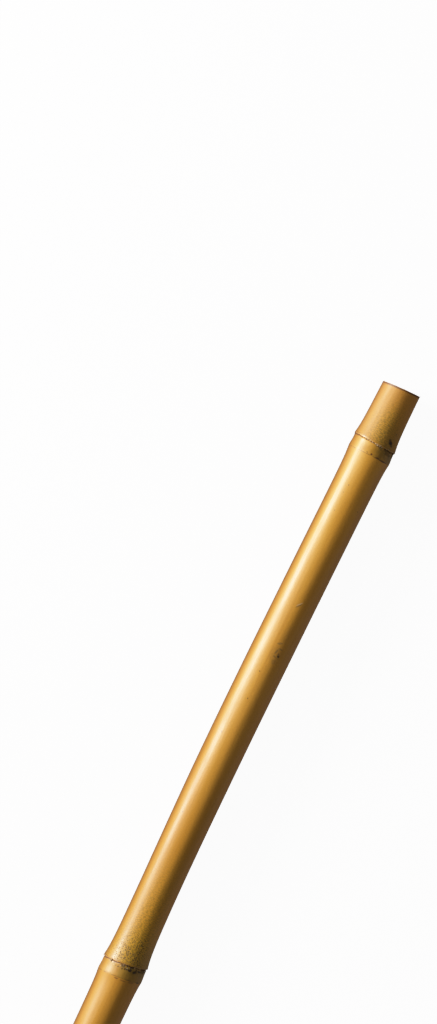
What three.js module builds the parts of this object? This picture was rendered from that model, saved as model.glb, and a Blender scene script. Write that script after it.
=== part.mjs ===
// A cut bamboo cane lying on a flat surface, butt end at -X and tip end at +X.
//
// The cane is one grown piece. Its skin swells into a flared sheath scar and a round ridge at every
// node, and the culm bends a little from node to node. Each cut end is hollow as far as its first
// diaphragm, and between those two diaphragms the culm is one solid.
// Millimetres, +Z up. "x" in this file runs along the cane from the butt cut; the finished part is
// centred over the origin, with its lowest points at z = 0.

import * as THREE from "three";

// Driving dimensions
const LENGTH = 900;
const SIDES = 36;
const SKIN_RADIUS = 12.5;
const INTERNODE_STEP = 24;

// One entry for each node of the culm. The scar is the thin flange that the leaf sheath left, and the
// ridge is the swelling on its tip side. Lean is how far a ring runs towards the tip on its +Y side.
const NODES = [
  { scar: 35.3, scarLean: 1.0, ridge: 43.1, ridgeLean: 0.6, ridgeRadius: 13.35 },
  { scar: 373.6, scarLean: -1.2, ridge: 382.0, ridgeLean: -1.0, ridgeRadius: 13.4 },
  { scar: 722.0, scarLean: 0.8, ridge: 730.2, ridgeLean: 0.5, ridgeRadius: 13.3 },
];

// Swelling of the skin at a node
const FLARE_HEIGHT = 1.42;
const FLARE_RUN = 7.7;
const SCAR_WIDTH = 0.9;
const SCAR_STEP = 0.36;
const GROOVE_START = 0.8;
const GROOVE_END = 1.4;
const RIDGE_WIDTH = 1.2;
const RIDGE_RUN = 5.5;
const LEAN_REACH = 20;

// Distances from a node at which the skin has a ring
const RINGS_BY_NODE = [1.8, 3.8, 6.5, 10, 15, 22];

// Skin radius of each stretch between nodes, as [x, radius], without the swelling of its nodes
const STRETCHES = [
  [[0, 11.84], [16, 11.98], [35, 11.98]],
  [[43, 12.6], [118, 12.52], [190, 12.5], [250, 12.36], [318, 11.95], [374, 12.08]],
  [[382, 12.68], [470, 12.52], [560, 12.42], [640, 12.12], [722, 12.1]],
  [[730, 12.5], [800, 12.38], [900, 12.2]],
];

// Sideways course of the cane's centre, as cubic pieces between these points. A slope is in mm of Y
// for each mm of x, and it differs on the two sides of a node, where the culm kinks.
const COURSE = [
  { x: 0, y: 0, slopeOut: -0.0345 },
  { x: 39, y: -1.04, slopeIn: -0.0185, slopeOut: -0.0292 },
  { x: 378, y: -5.71, slopeIn: 0.0173, slopeOut: -0.0087 },
  { x: 728, y: -0.92, slopeIn: 0.0293, slopeOut: 0.0013 },
  { x: 900, y: 0, slopeIn: 0.0093 },
];

// Slight departures from round, and the depth to which a node is rubbed flat where it lies
const OVAL = 0.006;
const OVAL_TURN = 0.9;
const RIPPLE = 0.0025;
const WORN = 0.05;

// Saw cuts, a little out of square: the x that the cut gains on its +Y side
const BUTT_CUT_LEAN = -0.2;
const TIP_CUT_LEAN = 0.15;
const CUT_BEVEL = 0.25;

// Hollow of each cut end, as [x, radius] from its diaphragm's middle to the cut
const BUTT_HOLLOW = [[34.6, 0], [34.0, 3.2], [32.2, 5.4], [28.6, 6.7], [20, 7.0], [0, 7.15]];
const TIP_HOLLOW = [
  [731.4, 0], [732.2, 3.4], [734.2, 5.9], [738, 7.2], [748, 7.6], [790, 7.7], [845, 7.8], [900, 7.9],
];

// Trimmed branch scar on the tip side of the last node: a low pad with a flat top
const BRANCH = { node: 2, past: 4.6, turn: 0.95, length: 6.5, width: 4.2, height: 1.5, trim: 0.95 };

const smooth = (u) => u * u * (3 - 2 * u);

// Cubic between a and b over a span, with the given slopes at its ends.
function cubic(u, span, a, b, slopeA, slopeB) {
  const u2 = u * u;
  const u3 = u2 * u;
  return (
    (2 * u3 - 3 * u2 + 1) * a +
    (u3 - 2 * u2 + u) * span * slopeA +
    (3 * u2 - 2 * u3) * b +
    (u3 - u2) * span * slopeB
  );
}

// Which piece of a rising list of stations holds x, as the index of the station that ends it.
function pieceAt(stations, x) {
  const next = stations.findIndex((station) => station > x);
  return next < 0 ? stations.length - 1 : Math.max(next, 1);
}

// Value at x on a smooth line through a list of [x, value] points, level before and after them.
function through(points, x) {
  const k = pieceAt(points.map((p) => p[0]), x);
  const [x0, v0] = points[k - 1];
  const [x1, v1] = points[k];
  const slopeAt = (j) => {
    const [xa, va] = points[Math.max(j - 1, 0)];
    const [xb, vb] = points[Math.min(j + 1, points.length - 1)];
    return (vb - va) / (xb - xa);
  };
  const u = Math.min(Math.max((x - x0) / (x1 - x0), 0), 1);
  return cubic(u, x1 - x0, v0, v1, slopeAt(k - 1), slopeAt(k));
}

// Round radius of the skin at x, before the small departures from round.
function skinRadius(x) {
  for (const [i, node] of NODES.entries()) {
    const flangeEnd = node.scar + SCAR_WIDTH / 2;
    if (x > flangeEnd && x < node.ridge - RIDGE_WIDTH / 2) {
      const flange = through(STRETCHES[i], node.scar) + FLARE_HEIGHT;
      const foot = flange - SCAR_STEP;
      const u = (x - flangeEnd) / (node.ridge - RIDGE_WIDTH / 2 - flangeEnd);
      return foot + (node.ridgeRadius - foot) * smooth(u);
    }
  }
  const i = NODES.filter((node) => x > node.ridge - RIDGE_WIDTH).length;
  const before = NODES[i - 1];
  const after = NODES[i];
  let radius = through(STRETCHES[i], x);
  if (before) {
    const past = Math.max(x - before.ridge - RIDGE_WIDTH / 2, 0);
    const height = before.ridgeRadius - through(STRETCHES[i], before.ridge);
    radius += height * Math.exp(-past / RIDGE_RUN);
  }
  if (after) {
    const ahead = Math.max(after.scar - SCAR_WIDTH / 2 - x, 0);
    radius += FLARE_HEIGHT * Math.exp(-ahead / FLARE_RUN);
  }
  return radius;
}

// Share by which the radius departs from round at x and at an angle from +Y towards +Z.
function outOfRound(x, angle) {
  const oval = OVAL * Math.cos(2 * (angle - OVAL_TURN) + x / 260);
  const ripple = RIPPLE * Math.sin(3 * angle + x / 47) + RIPPLE * Math.sin(5 * angle - x / 31);
  return oval + ripple;
}

// Height of the trimmed branch scar above the skin.
function branchHeight(x, angle) {
  const along = (x - NODES[BRANCH.node].ridge - BRANCH.past) / BRANCH.length;
  const turn = Math.atan2(Math.sin(angle - BRANCH.turn), Math.cos(angle - BRANCH.turn));
  const round = (turn * SKIN_RADIUS) / BRANCH.width;
  return Math.min(BRANCH.height * Math.exp(-along * along - round * round), BRANCH.trim);
}

// How far a ring at x leans towards the tip at its +Y side.
function leanAt(x) {
  const fade = (from) => Math.exp(-(((x - from) / LEAN_REACH) ** 2));
  const cuts = BUTT_CUT_LEAN * fade(0) + TIP_CUT_LEAN * fade(LENGTH);
  return NODES.reduce((sum, node) => {
    const share = Math.min(Math.max((x - node.scar) / (node.ridge - node.scar), 0), 1);
    const lean = node.scarLean + (node.ridgeLean - node.scarLean) * share;
    return sum + lean * fade((node.scar + node.ridge) / 2);
  }, cuts);
}

// Y of the cane's centre at x.
function courseAt(x) {
  const k = pieceAt(COURSE.map((p) => p.x), x);
  const a = COURSE[k - 1];
  const b = COURSE[k];
  return cubic((x - a.x) / (b.x - a.x), b.x - a.x, a.y, b.y, a.slopeOut, b.slopeIn);
}

// Depth below the centre line of the lowest corner of the ring at x.
function depthAt(x) {
  const halfSide = Math.PI / SIDES;
  const corners = [-Math.PI / 2 - halfSide, -Math.PI / 2 + halfSide];
  return Math.min(
    ...corners.map((a) => -Math.sin(a) * skinRadius(x) * (1 + outOfRound(x, a)))
  );
}

// Height of the cane's centre at x: every node's ridge reaches down to the surface it lies on.
function heightAt(x) {
  const ridges = NODES.map((node) => node.ridge);
  const k = Math.min(pieceAt(ridges, x), ridges.length - 1);
  const [z0, z1] = [ridges[k - 1], ridges[k]].map((ridge) => depthAt(ridge) - WORN);
  return z0 + ((z1 - z0) * (x - ridges[k - 1])) / (ridges[k] - ridges[k - 1]);
}

// The x of every ring of the skin: close together at the nodes, wide apart between them.
function ringStations() {
  const stations = [CUT_BEVEL, LENGTH - CUT_BEVEL];
  const edges = [0];
  for (const { scar, ridge } of NODES) {
    const middle = (scar + ridge) / 2;
    stations.push(...RINGS_BY_NODE.map((d) => scar - d));
    stations.push(scar - SCAR_WIDTH / 2, scar + SCAR_WIDTH / 2, scar + SCAR_WIDTH);
    stations.push(middle - GROOVE_START, middle + GROOVE_END);
    stations.push(ridge - RIDGE_WIDTH / 2, ridge + RIDGE_WIDTH / 2);
    stations.push(...RINGS_BY_NODE.map((d) => ridge + d));
    edges.push(scar - RINGS_BY_NODE.at(-1), ridge + RINGS_BY_NODE.at(-1));
  }
  edges.push(LENGTH);
  for (let i = 0; i < edges.length; i += 2) {
    const span = edges[i + 1] - edges[i];
    const steps = Math.round(span / INTERNODE_STEP);
    for (let step = 1; step < steps; step++) stations.push(edges[i] + (span * step) / steps);
  }
  return stations.sort((a, b) => a - b);
}

// Half-section of the cane: up from the butt's diaphragm, along the skin, and back down into the tip.
function halfSection() {
  const point = ([x, radius]) => new THREE.Vector2(radius, x);
  const cut = (x) => point([x, skinRadius(x) - CUT_BEVEL]);
  return [
    ...BUTT_HOLLOW.map(point),
    cut(0),
    ...ringStations().map((x) => point([x, skinRadius(x)])),
    cut(LENGTH),
    ...[...TIP_HOLLOW].reverse().map(point),
  ];
}

// Turns the half-section into a round bar, then gives it its small departures from round, its leaning
// rings, its branch scar and its course along the surface it lies on.
function caneGeometry() {
  const geometry = new THREE.LatheGeometry(halfSection(), SIDES, Math.PI / SIDES);
  const position = geometry.getAttribute("position");
  for (let i = 0; i < position.count; i++) {
    const x = position.getY(i);
    const radius = Math.hypot(position.getX(i), position.getZ(i));
    const angle = Math.atan2(position.getX(i), position.getZ(i));
    const onSkin = radius > skinRadius(x) - 2 * CUT_BEVEL ? 1 : 0;
    const grown = radius * (1 + outOfRound(x, angle)) + onSkin * branchHeight(x, angle);
    const across = grown * Math.cos(angle);
    const up = grown * Math.sin(angle);
    const lean = (leanAt(x) * across) / SKIN_RADIUS;
    const z = Math.max(heightAt(x) + up, 0);
    position.setXYZ(i, x + lean, courseAt(x) + across, z);
  }
  geometry.computeBoundingBox();
  const middle = geometry.boundingBox.getCenter(new THREE.Vector3());
  geometry.translate(-middle.x, -middle.y, -geometry.boundingBox.min.z);
  geometry.computeVertexNormals();
  return geometry;
}

const bambooSkin = new THREE.MeshStandardMaterial({
  color: new THREE.Color(0.6, 0.37, 0.13),
  roughness: 0.38,
  metalness: 0,
});

const bamboo = new THREE.Group();
const cane = new THREE.Mesh(caneGeometry(), bambooSkin);
cane.name = "cane";
bamboo.add(cane);

export default bamboo;
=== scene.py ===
# %% [markdown]
# # A cut bamboo cane
# This lesson dresses one cane: a culm of dry, golden bamboo that lies on a pale surface. It is a single
# piece that grew as a tube with swollen nodes. The CAD model gives its true size, so the cane here is
# built on the same measures, with a finer mesh, fine relief and the finish of its skin.
# First the CAD model is loaded, and its box is kept to be printed at the end.

# %% Load the frame
import math
import random

import bpy
import numpy as np
from mathutils import Matrix, Vector, noise


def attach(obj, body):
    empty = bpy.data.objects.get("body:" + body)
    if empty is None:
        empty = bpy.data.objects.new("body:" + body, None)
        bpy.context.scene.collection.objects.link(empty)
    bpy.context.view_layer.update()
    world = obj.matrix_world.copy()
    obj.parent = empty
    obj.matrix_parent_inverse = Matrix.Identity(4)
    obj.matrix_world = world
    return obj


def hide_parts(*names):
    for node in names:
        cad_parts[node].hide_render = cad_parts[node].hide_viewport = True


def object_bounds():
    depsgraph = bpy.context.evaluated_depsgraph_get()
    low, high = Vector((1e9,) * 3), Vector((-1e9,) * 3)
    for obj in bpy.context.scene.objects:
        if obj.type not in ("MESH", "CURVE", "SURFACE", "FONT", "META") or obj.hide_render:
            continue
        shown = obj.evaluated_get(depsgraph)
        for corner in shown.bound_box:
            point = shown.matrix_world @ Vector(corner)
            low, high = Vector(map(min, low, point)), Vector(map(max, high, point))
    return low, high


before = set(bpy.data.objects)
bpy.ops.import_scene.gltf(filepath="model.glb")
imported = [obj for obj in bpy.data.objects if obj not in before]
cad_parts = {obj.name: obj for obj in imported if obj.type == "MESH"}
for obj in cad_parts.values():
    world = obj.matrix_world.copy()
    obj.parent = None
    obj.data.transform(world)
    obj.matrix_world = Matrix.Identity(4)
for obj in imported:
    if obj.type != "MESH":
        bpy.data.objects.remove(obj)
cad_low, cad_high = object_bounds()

MM = 0.001
print("CAD box in mm:", [round((b - a) / MM, 1) for a, b in zip(cad_low, cad_high)])

# %% [markdown]
# ## Measures of the culm
# A culm swells at each node. The leaf sheath left a thin flange there, the sheath scar, and a few
# millimetres nearer the tip the round ridge of the node stands out. Between nodes the skin is almost a
# straight tube. These are the measures of the CAD model, in millimetres, with x from the butt's cut.

# %% Measures, in millimetres
LENGTH = 900
SKIN_RADIUS = 12.5
NODES = [
    {"scar": 35.3, "scar_lean": 1.0, "ridge": 43.1, "ridge_lean": 0.6, "radius": 13.35},
    {"scar": 373.6, "scar_lean": -1.2, "ridge": 382.0, "ridge_lean": -1.0, "radius": 13.4},
    {"scar": 722.0, "scar_lean": 0.8, "ridge": 730.2, "ridge_lean": 0.5, "radius": 13.3},
]
STRETCHES = [
    [(0, 11.84), (16, 11.98), (35, 11.98)],
    [(43, 12.6), (118, 12.52), (190, 12.5), (250, 12.36), (318, 11.95), (374, 12.08)],
    [(382, 12.68), (470, 12.52), (560, 12.42), (640, 12.12), (722, 12.1)],
    [(730, 12.5), (800, 12.38), (900, 12.2)],
]
# x, y, and the slopes before and after that point, where the culm kinks a little
COURSE = [
    (0, 0, 0, -0.0345),
    (39, -1.04, -0.0185, -0.0292),
    (378, -5.71, 0.0173, -0.0087),
    (728, -0.92, 0.0293, 0.0013),
    (900, 0, 0.0093, 0),
]
print("between scars in mm:", [round(b["scar"] - a["scar"], 1) for a, b in zip(NODES, NODES[1:])])

# %% [markdown]
# ## Smooth lines through a few points
# A culm has no straight edge, so its measures are joined by smooth lines. These helpers work on whole
# arrays, so that they can shape every point of the mesh in one go.


# %% Smooth lines through points
def smooth(u):
    return u * u * (3 - 2 * u)


def cubic(u, span, a, b, slope_a, slope_b):
    """A cubic between a and b over a span, with the given slopes at its ends."""
    return (
        (2 * u**3 - 3 * u**2 + 1) * a
        + (u**3 - 2 * u**2 + u) * span * slope_a
        + (3 * u**2 - 2 * u**3) * b
        + (u**3 - u**2) * span * slope_b
    )


def piece_at(stations, x):
    return np.clip(np.searchsorted(stations, x, side="right"), 1, len(stations) - 1)


def through(points, x):
    """Values on a smooth line through (x, value) points, level before and after them."""
    xs, vs = np.array(points, float).T
    before = np.maximum(np.arange(len(xs)) - 1, 0)
    after = np.minimum(np.arange(len(xs)) + 1, len(xs) - 1)
    slopes = (vs[after] - vs[before]) / (xs[after] - xs[before])
    k = piece_at(xs, x)
    span = xs[k] - xs[k - 1]
    u = np.clip((x - xs[k - 1]) / span, 0, 1)
    return cubic(u, span, vs[k - 1], vs[k], slopes[k - 1], slopes[k])


print("radius of the first stretch, 20 mm from the cut:", round(float(through(STRETCHES[0], 20)), 2))

# %% [markdown]
# ## The skin's radius
# Towards each scar the skin flares out. Past it the radius steps in, dips in a shallow groove with a
# crease at the scar's foot, and rises to the round ridge, from which it falls back to the next stretch.

# %% The radius of the skin
FLARE_HEIGHT = 1.42
FLARE_RUN = 7.7
SCAR_WIDTH = 0.9
SCAR_STEP = 0.36
CREASE_DEPTH = 0.3
CREASE_WIDTH = 0.45
GROOVE_DEPTH = 0.12
RIDGE_WIDTH = 1.2
RIDGE_RUN = 5.5


def skin_radius(x):
    """Radius of the skin at x, before its small departures from round."""
    x = np.asarray(x, float)
    stretch = sum((x > node["ridge"] - RIDGE_WIDTH).astype(int) for node in NODES)
    radius = np.zeros_like(x)
    for i, points in enumerate(STRETCHES):
        here = through(points, x)
        if i > 0:
            node = NODES[i - 1]
            past = np.maximum(x - node["ridge"], 0)
            crest = np.hypot(past, RIDGE_WIDTH / 2) - RIDGE_WIDTH / 2
            here = here + (node["radius"] - through(points, node["ridge"])) * np.exp(-crest / RIDGE_RUN)
        if i < len(NODES):
            ahead = np.maximum(NODES[i]["scar"] - SCAR_WIDTH / 2 - x, 0)
            here = here + FLARE_HEIGHT * np.exp(-ahead / FLARE_RUN)
        radius = np.where(stretch == i, here, radius)
    for i, node in enumerate(NODES):
        start, end = node["scar"] + SCAR_WIDTH / 2, node["ridge"] - RIDGE_WIDTH / 2
        foot = through(STRETCHES[i], node["scar"]) + FLARE_HEIGHT - SCAR_STEP
        u = np.clip((x - start) / (end - start), 0, 1)
        crease = CREASE_DEPTH * np.exp(-(((x - start - CREASE_WIDTH / 2) / CREASE_WIDTH) ** 2))
        between = foot + (node["radius"] - foot) * smooth(u) - GROOVE_DEPTH * np.sin(math.pi * u) - crease
        radius = np.where((x > start) & (x < end), between, radius)
    return radius


print("skin radius at the first scar, groove and ridge:", np.round(skin_radius([35, 38, 43]), 2))

# %% [markdown]
# ## Small departures from round
# No culm is quite round. A slow oval and faint ripples change the radius a little as they wander along it.
# Past the third node a branch was trimmed off, which leaves a low pad with a flat face.

# %% Oval, ripples and the branch scar
OVAL, OVAL_TURN, RIPPLE = 0.006, 0.9, 0.0025
BRANCH = {"node": 2, "past": 4.6, "turn": 0.95, "length": 6.5, "width": 4.2, "height": 1.5, "trim": 0.95}


def out_of_round(x, angle):
    """Share by which the radius departs from round, at an angle from +Y towards +Z."""
    oval = OVAL * np.cos(2 * (angle - OVAL_TURN) + x / 260)
    ripple = RIPPLE * np.sin(3 * angle + x / 47) + RIPPLE * np.sin(5 * angle - x / 31)
    return oval + ripple


def branch_height(x, angle):
    """Height of the trimmed branch scar above the skin."""
    along = (x - NODES[BRANCH["node"]]["ridge"] - BRANCH["past"]) / BRANCH["length"]
    turn = np.arctan2(np.sin(angle - BRANCH["turn"]), np.cos(angle - BRANCH["turn"]))
    pad = BRANCH["height"] * np.exp(-(along**2) - (turn * SKIN_RADIUS / BRANCH["width"]) ** 2)
    return np.minimum(pad, BRANCH["trim"])


print("share out of round at the first ridge's top:", round(float(out_of_round(43.1, math.pi / 2)), 4))

# %% [markdown]
# ## The lean of the rings and the culm's course
# Scars, ridges and saw cuts aren't square to the axis: each leans a little, and the lean fades away from
# it. The centre wanders sideways with a slight kink at each node, and its height is such that every ridge,
# rubbed flat below by a hair, touches the surface.

# %% Lean, course and height
LEAN_REACH = 20
BUTT_CUT_LEAN, TIP_CUT_LEAN = -0.2, 0.15
WORN = 0.05
# The CAD model's rings have 36 sides, with the middle of one of them straight below
MODEL_SIDES = 36


def lean_at(x):
    """How far a ring at x leans towards the tip at its +Y side."""
    total = BUTT_CUT_LEAN * np.exp(-((x / LEAN_REACH) ** 2))
    total = total + TIP_CUT_LEAN * np.exp(-(((x - LENGTH) / LEAN_REACH) ** 2))
    for node in NODES:
        share = np.clip((x - node["scar"]) / (node["ridge"] - node["scar"]), 0, 1)
        lean = node["scar_lean"] + (node["ridge_lean"] - node["scar_lean"]) * share
        middle = (node["scar"] + node["ridge"]) / 2
        total = total + lean * np.exp(-(((x - middle) / LEAN_REACH) ** 2))
    return total


def course_at(x):
    """Sideways place of the culm's centre, which bends and kinks a little from node to node."""
    xs, ys, slopes_in, slopes_out = np.array(COURSE, float).T
    k = piece_at(xs, x)
    span = xs[k] - xs[k - 1]
    return cubic((x - xs[k - 1]) / span, span, ys[k - 1], ys[k], slopes_out[k - 1], slopes_in[k])


def height_at(x):
    """Height of the centre: every ridge reaches down to the surface it lies on."""
    ridges = np.array([node["ridge"] for node in NODES])
    down = -math.pi / 2
    facet = math.cos(math.pi / MODEL_SIDES)
    rests = skin_radius(ridges) * (1 + out_of_round(ridges, down)) * facet - WORN
    k = np.clip(piece_at(ridges, x), 1, len(ridges) - 1)
    share = (x - ridges[k - 1]) / (ridges[k] - ridges[k - 1])
    return rests[k - 1] + (rests[k] - rests[k - 1]) * share


print("centre's height at both cuts in mm:", np.round(height_at(np.array([0, LENGTH])), 2))

# %% [markdown]
# ## Where things are in the part's frame
# The part's frame has its origin in the middle of the cane, on the surface it lies on. The middle of
# the butt's cut in the CAD model tells how far the laws above have to be moved.


# %% Place the laws in the part's frame
def cad_butt_centre():
    """Y of the middle of the butt's cut in the CAD model, in metres."""
    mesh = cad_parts["cane"].data
    near_cut = cad_low.x + 0.6 * MM
    ys = [v.co.y for v in mesh.vertices if v.co.x < near_cut]
    return (min(ys) + max(ys)) / 2


BUTT_X = -LENGTH / 2 * MM
BUTT_Y = cad_butt_centre()


def in_frame(x, y, z):
    """Points in the part's frame, in metres, from the laws' millimetres."""
    return np.stack([x * MM + BUTT_X, y * MM + BUTT_Y, z * MM], axis=-1)


def on_skin(x, around, lift=0.0):
    """A point of the skin at x mm from the butt and around mm from the top towards +Y, and its normal."""
    phi = around / SKIN_RADIUS
    radius = float(skin_radius(x)) * (1 + float(out_of_round(x, math.pi / 2 - phi))) + lift
    y, z = math.sin(phi), math.cos(phi)
    lean = float(lean_at(x)) * y * radius / SKIN_RADIUS
    centre_y, centre_z = float(course_at(x)), float(height_at(x))
    place = in_frame(x + lean, centre_y + radius * y, max(centre_z + radius * z, 0))
    return Vector(place), Vector((0, y, z))


print("butt centre in mm:", round(BUTT_Y / MM, 2))

# %% [markdown]
# ## Camera
# The camera looks straight down on the cane from 2.5 m through a long lens, as the photograph was taken.
# The cane's butt lies inside the picture and its far half runs out of it at the lower left. PIXEL is
# the real size of one pixel of the picture at the height of the cane's centre.

# %% Camera
PIXEL = 0.588 * MM
IMAGE_WIDTH, IMAGE_HEIGHT = 437, 1024
LENS, SENSOR = 150.0, 36.0
# The middle of the butt's cut, in pixels from the picture's upper left corner
CUT_IN_IMAGE = (401.5, 389.0)
# How far the cane slants from upright in the picture, and how far the stretch in view turns from +X
CANE_SLANT = math.radians(25.54)
VIEWED_TURN = -0.0125

camera_distance = PIXEL * IMAGE_HEIGHT * LENS / SENSOR
along = Vector((math.cos(VIEWED_TURN), math.sin(VIEWED_TURN), 0))
across = Vector((-along.y, along.x, 0))
right = -math.sin(CANE_SLANT) * along + math.cos(CANE_SLANT) * across
up = -math.cos(CANE_SLANT) * along - math.sin(CANE_SLANT) * across
from_cut = Vector((IMAGE_WIDTH / 2 - CUT_IN_IMAGE[0], CUT_IN_IMAGE[1] - IMAGE_HEIGHT / 2)) * PIXEL
cut_centre = Vector((BUTT_X, BUTT_Y, float(height_at(0)) * MM))
camera_place = cut_centre + from_cut.x * right + from_cut.y * up + Vector((0, 0, camera_distance))

camera_data = bpy.data.cameras.new("camera")
camera_data.lens = LENS
camera_data.sensor_width = SENSOR
camera_data.clip_end = 100
camera = bpy.data.objects.new("camera", camera_data)
bpy.context.scene.collection.objects.link(camera)
camera.matrix_world = Matrix((
    (right.x, up.x, 0, camera_place.x),
    (right.y, up.y, 0, camera_place.y),
    (0, 0, 1, camera_place.z),
    (0, 0, 0, 1),
))
bpy.context.scene.camera = camera
print("camera at", [round(c, 3) for c in camera_place])

# %% [markdown]
# ## The view's tones
# A real camera holds back its brightest tones, so that a highlight turns cream and not flat white. A tone
# curve does the same here. Each pair is a brightness of the scene and the brightness that is shown for it.

# %% Hold back the highlights
HIGHLIGHT_CURVE = [(0.2, 0.2), (0.4, 0.395), (0.6, 0.57), (0.8, 0.715), (1.0, 0.83), (1.3, 0.93)]
CURVE_END = 1.6


def hold_highlights(settings):
    settings.view_transform = "Standard"
    settings.use_curve_mapping = True
    mapping = settings.curve_mapping
    mapping.extend = "HORIZONTAL"
    mapping.white_level = (CURVE_END, CURVE_END, CURVE_END)
    for bright, shown in HIGHLIGHT_CURVE:
        mapping.curves[3].points.new(bright / CURVE_END, shown)
    mapping.update()


hold_highlights(bpy.context.scene.view_settings)
print("brightness shown as white:", CURVE_END)

# %% [markdown]
# ## The surface and the room
# The cane lies on a bright white surface, in a bright white room. The surface glows by itself, like a light
# table, so that shadows stay faint. Seen by the camera both are almost white, but on the cane they are
# only a weak fill: Light Path tells the two apart.


# %% The surface and the room
def deselect():
    if bpy.context.object and bpy.context.object.mode != "OBJECT":
        bpy.ops.object.mode_set(mode="OBJECT")
    bpy.ops.object.select_all(action="DESELECT")


def select_only(piece):
    deselect()
    piece.select_set(True)
    bpy.context.view_layer.objects.active = piece


FLOOR_SIZE = 120
FLOOR_GREY = 0.13
FLOOR_GLOW = 1.42
FLOOR_GLOW_ON_CANE = 0.13
ROOM_FILL = 0.058
ROOM_SEEN = 1.5


def seen_or_felt(tree, seen, felt):
    """A strength that differs between what the camera sees and what lights the cane."""
    path = tree.nodes.new("ShaderNodeLightPath")
    strength = tree.nodes.new("ShaderNodeMapRange")
    strength.inputs["To Min"].default_value = felt
    strength.inputs["To Max"].default_value = seen
    tree.links.new(path.outputs["Is Camera Ray"], strength.inputs["Value"])
    return strength.outputs["Result"]


deselect()
bpy.ops.mesh.primitive_plane_add(size=FLOOR_SIZE, location=(0, 0, 0))
floor = bpy.context.object
floor.name = "floor"
floor_material = bpy.data.materials.new("white surface")
floor_material.use_nodes = True
paint = floor_material.node_tree.nodes["Principled BSDF"]
paint.inputs["Base Color"].default_value = (FLOOR_GREY, FLOOR_GREY, FLOOR_GREY, 1)
paint.inputs["Roughness"].default_value = 0.9
paint.inputs["Specular IOR Level"].default_value = 0.0
paint.inputs["Emission Color"].default_value = (1, 1, 1, 1)
floor_material.node_tree.links.new(
    seen_or_felt(floor_material.node_tree, FLOOR_GLOW, FLOOR_GLOW_ON_CANE), paint.inputs["Emission Strength"]
)
floor.data.materials.append(floor_material)

world = bpy.data.worlds.new("room")
world.use_nodes = True
bpy.context.scene.world = world
background = world.node_tree.nodes["Background"]
background.inputs["Color"].default_value = (1, 0.97, 0.92, 1)
world.node_tree.links.new(
    seen_or_felt(world.node_tree, ROOM_SEEN, ROOM_FILL), background.inputs["Strength"]
)
print("surface", FLOOR_SIZE, "m wide, room fill", ROOM_FILL)

# %% [markdown]
# ## Three softboxes
# The key softbox stands low on the cane's -Y side, so that the skin shades from a cream highlight to deep
# brown across its width. A weaker one higher up softens the change. A faint one opposite keeps the far
# side from going black, and is kept out of reflections so that it leaves no second highlight.


# %% Three softboxes
def softbox(name, aim, side, elevation, distance, width, height, power, colour):
    """A soft rectangular light on the -Y or +Y side, so many degrees up, turned to its aim."""
    light = bpy.data.lights.new(name, "AREA")
    light.shape = "RECTANGLE"
    light.size, light.size_y = width, height
    light.energy = power
    light.color = colour
    rise = math.radians(elevation)
    place = Vector(aim) + distance * Vector((0, side * math.cos(rise), math.sin(rise)))
    lamp = bpy.data.objects.new(name, light)
    lamp.location = place
    lamp.rotation_euler = (Vector(aim) - place).to_track_quat("-Z", "Y").to_euler()
    lamp.visible_camera = False
    bpy.context.scene.collection.objects.link(lamp)
    return lamp


softbox(
    "key softbox", aim=(-0.45, 0, 0), side=-1, elevation=22, distance=1.7,
    width=0.88, height=0.5, power=43.0, colour=(1, 0.97, 0.95),
)
softbox(
    "high softbox", aim=(-0.5, 0, 0), side=-1, elevation=46, distance=1.7,
    width=1.2, height=0.6, power=6, colour=(1, 0.985, 0.955),
)
far_softbox = softbox(
    "far softbox", aim=(-0.1, 0, 0), side=1, elevation=12, distance=1.9,
    width=2.6, height=0.8, power=4.3, colour=(1, 0.96, 0.9),
)
far_softbox.visible_glossy = False
print("softboxes:", len(bpy.data.lights))

# %% [markdown]
# ## Nodes for a finish
# A finish is a net of shader nodes. These short calls add a node or two each and join them to what feeds
# them, so that each finish below reads as a list of its layers.


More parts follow.
